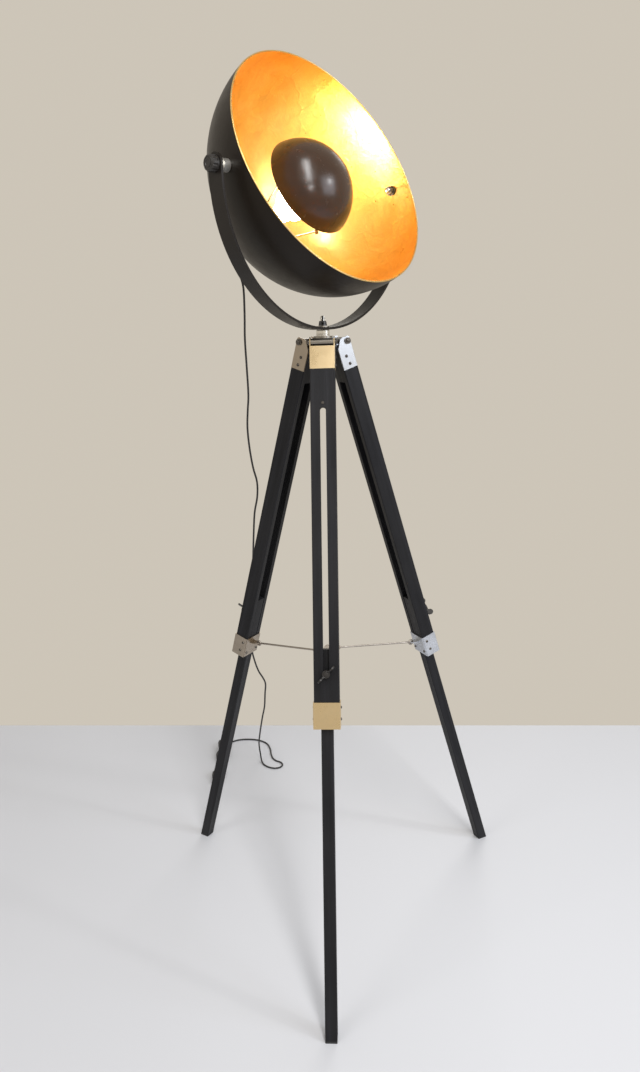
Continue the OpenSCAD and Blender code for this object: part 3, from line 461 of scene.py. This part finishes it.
def make_head_pieces(nickel):
    """The tilt bolts' threads, the gland's ribs and the knobs' faces."""
    bm = bmesh.new()
    tip = [(0.0039, BOLT_END + 0.0002), (0.0039, BOLT_END), (0.0031, BOLT_END - 0.0006),
           (0, BOLT_END - 0.0008)]
    for turn in (0, 180):
        side = Matrix.Rotation(math.radians(turn), 4, "Z")
        bolt = in_head @ Matrix.Translation((0, 0, -AXIS_BACK)) @ side
        bolt = bolt @ Matrix.Rotation(math.radians(90), 4, "Y")
        thread(bm, bolt, BOLT_D, 0.1800, 0.0052)
        lathe(bm, tip, bolt, 28)
    fit("bolt_threads", bm, "lamp_head", nickel)

    bm = bmesh.new()
    seat = Matrix.Translation((0, 0, -DOME_R - GLAND_SEAT))
    gland = in_head @ seat @ Matrix.Rotation(math.pi, 4, "X")
    for i in range(7):
        z = 0.0060 + 0.0027 * i
        cone_r = 0.0060 - 0.0028 * (z - GLAND_NUT) / (GLAND_LEN - GLAND_NUT)
        ring(bm, gland, cone_r + 0.0002, 0.0013, z, 32)
    ring(bm, gland, 0.0083, 0.0012, 0.0034, 40)
    fit("gland_ribs", bm, "lamp_head", gland_rubber)

    face = [(0.0062, KNOB_END - 0.0002), (0.0062, KNOB_END + 0.0004), (0.0055, KNOB_END + 0.0009),
            (0.0047, KNOB_END + 0.0009), (0.0043, KNOB_END + 0.0003), (0, KNOB_END + 0.0003)]
    for name, body, turn in (("left", "left_knob", 180), ("right", "right_knob", 0)):
        side = Matrix.Rotation(math.radians(turn), 4, "Z")
        knob = in_yoke @ side @ Matrix.Rotation(math.radians(90), 4, "Y")
        bm = bmesh.new()
        lathe(bm, face, knob, 40)
        ring(bm, knob, 0.0088, 0.0009, KNOB_END + 0.0001, 48)
        fit("knob_face_" + name, bm, body, fitting_black)


def make_plug_ribs():
    """The grip's ribs on both sides of the plug, and the rings of its strain relief."""
    bm = bmesh.new()
    behind = -HANK_RUN / 2 - HANK_TAIL - CORD_D - STRAIN_LEN
    plug = in_hank @ Matrix.Translation((0, behind, PLUG_T / 2))
    rib = (
        (-0.006, 0.3), (-0.0055, 0.8), (-0.003, 1), (0, 1), (0.003, 1), (0.0055, 0.8), (0.006, 0.3),
    )
    for x in (-0.0125, 0.0125):
        for y in (-0.0205, -0.0235, -0.0265):
            sweep(bm, [plug @ Vector((x, y, z)) for z, _ in rib], 0.0013, 8, [w for _, w in rib])
    relief = plug @ Matrix.Translation((0, STRAIN_LEN, 0))
    relief = relief @ Matrix.Rotation(math.radians(90), 4, "X")
    for i in range(5):
        z = 0.003 + 0.0038 * i
        ring(bm, relief, 0.0030 + 0.0020 * z / STRAIN_LEN + 0.0001, 0.0011, z, 32)
    fit("plug_ribs", bm, "tripod_head", plug_plastic)


def make_holder_rings():
    bm = bmesh.new()
    mouth = in_head @ Matrix.Translation((0, 0, -PLATE_BACK + PLATE_T + HOLDER_LEN))
    for reach in (0.0, 0.0036):
        ring(bm, mouth, 0.0187 - reach * 0.2, 0.0010, reach, 48)
    fit("holder_rings", bm, "lamp_head", holder_plastic)


def make_fine_pieces():
    screw_steel = brushed("screw_steel", (0.12, 0.11, 0.10), 0.32)
    nickel = brushed("nickel_small", (0.72, 0.70, 0.66), 0.24)
    for side in SIDES:
        make_leg_pieces(side, screw_steel)
    make_spindle_pieces(nickel)
    make_head_pieces(nickel)
    make_plug_ribs()
    make_holder_rings()


# ---------------------------------------------------------------- materials
class Finish:
    """A procedural material, built up by its methods."""

    def __init__(self, name, color, roughness, metallic=0.0):
        self.material = bpy.data.materials.new(name)
        self.material.use_nodes = True
        self.tree = self.material.node_tree
        self.shader = self.tree.nodes["Principled BSDF"]
        self.shader.inputs["Base Color"].default_value = (*color, 1)
        self.shader.inputs["Roughness"].default_value = roughness
        self.shader.inputs["Metallic"].default_value = metallic
        self.place = self.tree.nodes.new("ShaderNodeTexCoord").outputs["Object"]

    def node(self, kind, **settings):
        node = self.tree.nodes.new(kind)
        for key, value in settings.items():
            setattr(node, key, value)
        return node

    def link(self, output, target):
        self.tree.links.new(output, target)

    def turned(self, turn, scale):
        """Object coordinates turned by turn, a matrix, then scaled."""
        rows = []
        for axis in range(3):
            dot = self.node("ShaderNodeVectorMath", operation="DOT_PRODUCT")
            dot.inputs[1].default_value = [turn[axis][i] * scale[axis] for i in range(3)]
            self.link(self.place, dot.inputs[0])
            rows.append(dot.outputs["Value"])
        join = self.node("ShaderNodeCombineXYZ")
        for row, socket in zip(rows, join.inputs):
            self.link(row, socket)
        return join.outputs[0]

    def noise(self, scale, detail, rough=0.55, place=None, warp=0.0):
        node = self.node("ShaderNodeTexNoise")
        node.inputs["Scale"].default_value = scale
        node.inputs["Detail"].default_value = detail
        node.inputs["Roughness"].default_value = rough
        node.inputs["Distortion"].default_value = warp
        self.link(place or self.place, node.inputs["Vector"])
        return node.outputs["Fac"]

    def noise_color(self, scale, detail):
        """A noise colour, to bend coordinates with."""
        node = self.node("ShaderNodeTexNoise")
        node.inputs["Scale"].default_value = scale
        node.inputs["Detail"].default_value = detail
        self.link(self.place, node.inputs["Vector"])
        return node.outputs["Color"]

    def cells(self, scale, place):
        """The distance to the edge of the cell."""
        node = self.node("ShaderNodeTexVoronoi", feature="DISTANCE_TO_EDGE")
        node.inputs["Scale"].default_value = scale
        self.link(place, node.inputs["Vector"])
        return node.outputs["Distance"]

    def ramp(self, value, stops):
        """Colours or grey levels at places along value."""
        node = self.node("ShaderNodeValToRGB")
        while len(node.color_ramp.elements) < len(stops):
            node.color_ramp.elements.new(0.5)
        for element, (place, color) in zip(node.color_ramp.elements, stops):
            element.position = place
            element.color = (*color, 1) if isinstance(color, tuple) else (color, color, color, 1)
        self.link(value, node.inputs[0])
        return node.outputs[0]

    def mix(self, share, a, b):
        """Colours a and b mixed by share; each of the three is a socket or a value."""
        node = self.node("ShaderNodeMix", data_type="RGBA")
        for value, socket in ((share, node.inputs[0]), (a, node.inputs[6]), (b, node.inputs[7])):
            if isinstance(value, bpy.types.NodeSocket):
                self.link(value, socket)
            elif isinstance(value, tuple):
                socket.default_value = (*value, 1)
            else:
                socket.default_value = value
        return node.outputs[2]

    def color(self, output):
        self.link(output, self.shader.inputs["Base Color"])

    def roughness(self, output):
        self.link(output, self.shader.inputs["Roughness"])

    def bump(self, height, strength, distance):
        """Adds a bump to those already there."""
        node = self.node("ShaderNodeBump")
        node.inputs["Strength"].default_value = strength
        node.inputs["Distance"].default_value = distance
        self.link(height, node.inputs["Height"])
        old = self.shader.inputs["Normal"]
        if old.is_linked:
            self.link(old.links[0].from_socket, node.inputs["Normal"])
        self.link(node.outputs["Normal"], old)


def black_paint(name, color, gloss, shine=0.5):
    """Satin powder coat: a fine orange peel, faint cloudiness and dust in the gloss."""
    finish = Finish(name, color, gloss)
    cloud = finish.noise(9, 5)
    darker = tuple(c * 0.8 for c in color)
    lighter = tuple(c * 1.35 for c in color)
    finish.color(finish.ramp(cloud, [(0.3, darker), (0.7, lighter)]))
    dust = finish.noise(40, 6, 0.7)
    finish.roughness(finish.ramp(dust, [(0.25, gloss - 0.06), (0.8, gloss + 0.08)]))
    finish.bump(finish.noise(900, 3, 0.5), 0.12, 0.0004)
    finish.bump(finish.noise(120, 2, 0.4), 0.08, 0.0012)
    finish.shader.inputs["Specular IOR Level"].default_value = shine
    return finish.material


def gold_leaf():
    """Beaten leaf laid in patches: creases, worn seams and patches of redder and paler gold."""
    finish = Finish("gold_leaf", (0.9, 0.55, 0.14), 0.36, 1.0)
    warped = finish.mix(0.08, finish.place, finish.noise_color(14, 3))
    patches = finish.noise(5.5, 6, 0.62, warped, 0.6)
    fine = finish.noise(46, 5, 0.65, warped, 1.2)
    creases = finish.ramp(finish.cells(17, warped), [(0.0, 0.0), (0.06, 1.0)])
    folds = finish.noise(26, 4, 0.6, warped, 2.5)
    wrinkles = finish.ramp(folds, [(0.44, 1.0), (0.5, 0.0), (0.56, 1.0)])
    tone = finish.ramp(patches, [
        (0.28, (0.76, 0.43, 0.11)), (0.45, (0.88, 0.56, 0.16)),
        (0.58, (0.94, 0.65, 0.22)), (0.75, (0.97, 0.74, 0.32)),
    ])
    tone = finish.mix(finish.ramp(fine, [(0.36, 0.30), (0.62, 0.0)]), tone, (0.62, 0.33, 0.09))
    tone = finish.mix(finish.ramp(creases, [(0.0, 0.14), (1.0, 0.0)]), tone, (0.55, 0.30, 0.09))
    finish.color(tone)
    finish.roughness(finish.ramp(fine, [(0.3, 0.36), (0.7, 0.27)]))
    finish.bump(patches, 0.22, 0.004)
    finish.bump(wrinkles, 0.07, 0.0006)
    finish.bump(creases, 0.12, 0.0006)
    return finish.material


def brushed(name, color, roughness, turn=None, wear=0.2):
    """Nickelled or plain metal: fine brush lines, smears and small darker stains."""
    finish = Finish(name, color, roughness, 1.0)
    turn = turn or Matrix.Identity(3)
    lines = finish.noise(1, 3, 0.6, finish.turned(turn, (1600, 90, 1600)))
    smear = finish.noise(30, 5, 0.6)
    dull = tuple(c * 0.84 for c in color)
    tone = finish.ramp(smear, [(0.3, dull), (0.62, color)])
    stains = finish.ramp(finish.noise(150, 4, 0.7), [(0.62, 0.0), (0.75, wear)])
    finish.color(finish.mix(stains, tone, tuple(c * 0.4 for c in color)))
    finish.roughness(finish.ramp(smear, [(0.3, roughness + 0.12), (0.7, roughness - 0.05)]))
    finish.bump(lines, 0.10, 0.0002)
    return finish.material


def black_wood(name, azimuth):
    """Black stained beech: open grain along the leg and faint lighter streaks."""
    out = Vector((math.cos(azimuth), math.sin(azimuth), 0))
    along = math.sin(LEG_TILT) * out - math.cos(LEG_TILT) * Vector((0, 0, 1))
    across = Vector((-math.sin(azimuth), math.cos(azimuth), 0))
    turn = Matrix((across, across.cross(along), along))
    finish = Finish(name, (0.014, 0.013, 0.014), 0.5)
    finish.shader.inputs["Specular IOR Level"].default_value = 0.2
    streaks = finish.noise(1, 6, 0.6, finish.turned(turn, (95, 95, 3.2)), 0.5)
    pores = finish.noise(1, 4, 0.7, finish.turned(turn, (900, 900, 26)), 0.2)
    cloud = finish.noise(7, 3)
    tone = finish.ramp(streaks, [
        (0.28, (0.005, 0.005, 0.006)), (0.52, (0.010, 0.010, 0.012)), (0.75, (0.020, 0.020, 0.024)),
    ])
    tone = finish.mix(finish.ramp(cloud, [(0.35, 0.0), (0.75, 0.45)]), tone, (0.026, 0.025, 0.026))
    tone = finish.mix(finish.ramp(pores, [(0.30, 0.55), (0.42, 0.0)]), tone, (0.004, 0.004, 0.004))
    finish.color(tone)
    finish.roughness(finish.ramp(streaks, [(0.3, 0.58), (0.7, 0.42)]))
    finish.bump(pores, 0.32, 0.0005)
    finish.bump(streaks, 0.22, 0.0010)
    return finish.material


def moulded(name, color, roughness, grain=700, depth=0.15):
    """Moulded plastic or rubber with a fine grain and handling marks."""
    finish = Finish(name, color, roughness)
    cloud = finish.noise(60, 5)
    darker = tuple(c * 0.75 for c in color)
    lighter = tuple(c * 1.6 for c in color)
    finish.color(finish.ramp(cloud, [(0.3, darker), (0.75, lighter)]))
    finish.roughness(finish.ramp(cloud, [(0.3, roughness - 0.08), (0.7, roughness + 0.08)]))
    finish.bump(finish.noise(grain, 3, 0.6), depth, 0.0003)
    return finish.material


def lit_bulb():
    """The bulb while it burns, with a faint cloud in the coating."""
    finish = Finish("bulb_glow", (1.0, 0.9, 0.7), 0.25)
    cloud = finish.ramp(finish.noise(40, 3), [(0.2, (1.0, 0.80, 0.55)), (0.8, (1.0, 0.87, 0.66))])
    finish.link(cloud, finish.shader.inputs["Emission Color"])
    finish.shader.inputs["Emission Strength"].default_value = 64
    return finish.material


def put(material, *names):
    """Gives CAD nodes their finish."""
    for name in names:
        piece = nodes[name]
        piece.data.materials.clear()
        piece.data.materials.append(material)


cord_sheath = moulded("cord_sheath", (0.016, 0.015, 0.015), 0.5, 1500, 0.2)
gland_rubber = moulded("gland_rubber", (0.018, 0.017, 0.016), 0.6)
plug_plastic = moulded("plug_plastic", (0.022, 0.021, 0.021), 0.45)
holder_plastic = moulded("holder_plastic", (0.02, 0.02, 0.02), 0.35)
fitting_black = black_paint("fitting_black", (0.024, 0.021, 0.019), 0.36)


# Painted reflections and shade: the same nickelled sheet, tinted by the light on each side.
SHEET_PAINTED_REFLECTIONS = {
    "front": (0.80, 0.63, 0.38), "right": (0.62, 0.64, 0.68), "left": (0.42, 0.36, 0.29),
}


def finish_cad():
    put(black_paint("dome_paint", (0.012, 0.008, 0.005), 0.40, 0.22), "dome_shell")
    put(black_paint("reflector_paint", (0.038, 0.017, 0.008), 0.24, 0.5), "counter_reflector")
    put(black_paint("yoke_paint", (0.013, 0.010, 0.008), 0.34, 0.3), "yoke")
    put(gold_leaf(), "dome_lining", "counter_lining")
    put(brushed("rim_gold", (0.86, 0.60, 0.24), 0.26), "dome_rim_bead")
    put(brushed("bright_nickel", (0.80, 0.77, 0.71), 0.20), "spindle")
    put(brushed("spacer_nickel", (0.95, 0.93, 0.88), 0.38), "tilt_spacers")
    dark = brushed("dark_steel", (0.16, 0.145, 0.13), 0.38)
    put(dark, "hinge_pins", "spindle_nut", "tilt_bolts", "tilt_nuts")
    put(dark, "reflector_stays", "stay_ferrules")
    put(brushed("hub_steel", (0.34, 0.315, 0.28), 0.32), "hub")
    put(brushed("washer_steel", (0.42, 0.39, 0.35), 0.3), "yoke_washer")
    put(fitting_black, "knob_left", "knob_right", "yoke_wing_nut")
    put(brushed("holder_steel", (0.55, 0.52, 0.47), 0.34), "holder_plate")
    put(holder_plastic, "lamp_holder")
    put(lit_bulb(), "bulb_glass")
    put(brushed("cap_metal", (0.68, 0.67, 0.63), 0.3), "bulb_cap")
    put(gland_rubber, "cord_gland")
    put(plug_plastic, "mains_plug")
    put(moulded("tie_plastic", (0.03, 0.03, 0.03), 0.55), "hank_tie")
    rubber = moulded("pad_rubber", (0.02, 0.02, 0.02), 0.75, 500, 0.3)
    rod = brushed("rod_steel", (0.36, 0.32, 0.28), 0.33)
    put(rod, "spreader_plate")
    for side, degrees in SIDES.items():
        azimuth = math.radians(degrees)
        out = Vector((math.cos(azimuth), math.sin(azimuth), 0))
        across = Vector((-math.sin(azimuth), math.cos(azimuth), 0))
        turn = Matrix((across, out, Vector((0, 0, 1))))
        # The sheet's colour here is its painted reflection and shade for this leg's side.
        sheet = brushed("sheet_" + side, SHEET_PAINTED_REFLECTIONS[side], 0.28, turn)
        put(sheet, "cap_" + side, "sleeve_" + side, "spreader_bracket_" + side)
        wood = black_wood("wood_" + side, azimuth)
        put(wood, "upper_leg_" + side, "lower_leg_" + side)
        put(dark, "cap_screws_" + side, "sleeve_screws_" + side)
        put(fitting_black, "wing_screw_" + side)
        put(rubber, "foot_pad_" + side)
        put(rod, "spreader_rod_" + side)


# ---------------------------------------------------------------- stage
def make_stage():
    """A pale floor that keeps the lamp's shadow, and plain soft light."""
    bm = bmesh.new()
    corners = (
        (-FLOOR_SIDE, FLOOR_FRONT), (FLOOR_SIDE, FLOOR_FRONT),
        (FLOOR_SIDE, FLOOR_BACK), (-FLOOR_SIDE, FLOOR_BACK),
    )
    bm.faces.new([bm.verts.new((x, y, 0)) for x, y in corners])
    floor = add_mesh("floor", bm)
    finish = Finish("floor_pale", (0.72, 0.72, 0.74), 0.5)
    floor.data.materials.append(finish.material)

    world = bpy.data.worlds.new("world")
    scene.world = world
    world.use_nodes = True
    tree = world.node_tree
    background = tree.nodes["Background"]
    background.inputs["Color"].default_value = (0.92, 0.90, 0.87, 1)
    background.inputs["Strength"].default_value = 0.42
    seen = tree.nodes.new("ShaderNodeBackground")
    seen.inputs["Color"].default_value = (0.61, 0.56, 0.48, 1)
    path = tree.nodes.new("ShaderNodeLightPath")
    mix = tree.nodes.new("ShaderNodeMixShader")
    shown = path.outputs["Is Camera Ray"]
    for ray in ("Is Glossy Ray", "Is Transmission Ray"):
        join = tree.nodes.new("ShaderNodeMath")
        join.operation = "MAXIMUM"
        tree.links.new(shown, join.inputs[0])
        tree.links.new(path.outputs[ray], join.inputs[1])
        shown = join.outputs[0]
    tree.links.new(shown, mix.inputs[0])
    tree.links.new(background.outputs[0], mix.inputs[1])
    tree.links.new(seen.outputs[0], mix.inputs[2])
    tree.links.new(mix.outputs[0], tree.nodes["World Output"].inputs["Surface"])

    make_area("window", (-1.9, -1.7, 2.3), 1.3, 13)
    make_area("room_right", (2.3, -0.9, 1.8), 1.4, 22, color=(0.80, 0.88, 1.0))
    make_area("room_back", (0.6, 2.4, 2.2), 1.4, 16)
    make_area("tall_front", (0.62, -1.5, 2.8), 1.9, 38, 0.32)
    make_area("spot_front", (0.98, -2.1, 1.62), 0.15, 6)
    make_area("spot_right", (2.1, -0.65, 2.05), 0.15, 6)


def make_area(name, place, size, power, width=None, color=(1, 1, 1)):
    data = bpy.data.lights.new(name, "AREA")
    data.shape = "RECTANGLE"
    data.size = width or size
    data.size_y = size
    data.energy = power
    data.color = color
    light = bpy.data.objects.new(name, data)
    light.location = place
    aim = Vector((0, AXIS_Y, 0.9)) - Vector(place)
    light.rotation_euler = aim.to_track_quat("-Z", "Y").to_euler()
    light.visible_camera = False
    scene.collection.objects.link(light)


make_camera()
make_cords()
finish_cad()
make_fine_pieces()
make_stage()
scene.view_settings.view_transform = "Standard"
